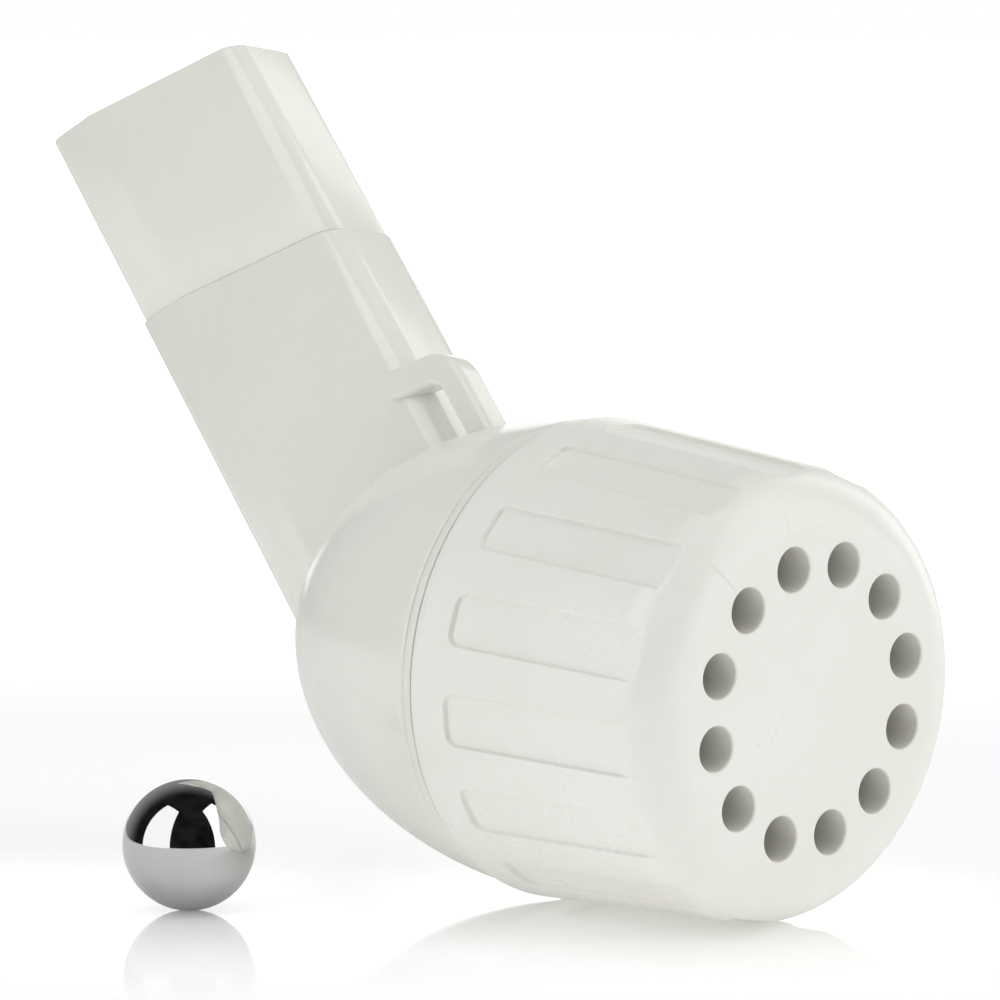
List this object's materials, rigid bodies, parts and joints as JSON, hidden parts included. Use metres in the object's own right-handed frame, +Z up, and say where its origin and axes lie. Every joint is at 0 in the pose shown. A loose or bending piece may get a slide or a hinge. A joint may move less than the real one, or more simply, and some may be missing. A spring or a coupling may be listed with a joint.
{
  "type": "breathing trainer",
  "caption": "Pipe-shaped breathing trainer lying on its perforated screw cap, with a slanted push-fit mouthpiece, cord hook, valve cone and loose steel ball.",
  "frame": {"origin": "centre of the bounding box's underside, on the table that the trainer and its ball lie on", "axes": "+Z up from the table; -Y is the way the cap's perforated face looks; the head's axis lies in a plane of constant X and dips 3.65 degrees towards the face; the stem rises towards +Y"},
  "size_m": [0.0628, 0.1133, 0.0814],
  "materials": {
    "cap_plastic": "satin moulded, off-white",
    "seal_rubber": "smooth pale elastomer",
    "housing_plastic": "satin moulded, off-white",
    "mouthpiece_plastic": "satin moulded, off-white",
    "cone_plastic": "smooth moulded",
    "ball_steel": "polished stainless steel"
  },
  "bodies": {
    "housing": {"stem_housing": "housing_plastic", "valve_cone": "cone_plastic"},
    "mouthpiece": {"mouthpiece": "mouthpiece_plastic"},
    "seal_ring": {"seal_ring": "seal_rubber"},
    "cap": {"perforated_cap": "cap_plastic"},
    "ball": {"steel_ball": "ball_steel"}
  },
  "joints": [
    {"name": "mouthpiece_pull", "type": "slide", "parent": "housing", "child": "mouthpiece", "axis": [0.095, 0.6861, 0.7213], "range_m": [0, 0.0085]},
    {"name": "cap_lift", "type": "slide", "parent": "housing", "child": "seal_ring", "axis": [0, -0.998, -0.0637], "range_m": [0, 0.0121]},
    {"name": "cap_turn", "type": "hinge", "parent": "seal_ring", "child": "cap", "pos_m": [0.008, -0.0556, 0.0214], "axis": [0, -0.998, -0.0637], "range_deg": [0, 720]},
    {"name": "ball_roll", "type": "slide", "parent": "housing", "child": "ball", "axis": [-1, 0, 0], "range_m": [0, 0.03]}
  ],
  "couplings": [
    {"joint": "cap_lift", "follows": "cap_turn", "m_per_rad": 0.00095493}
  ]
}
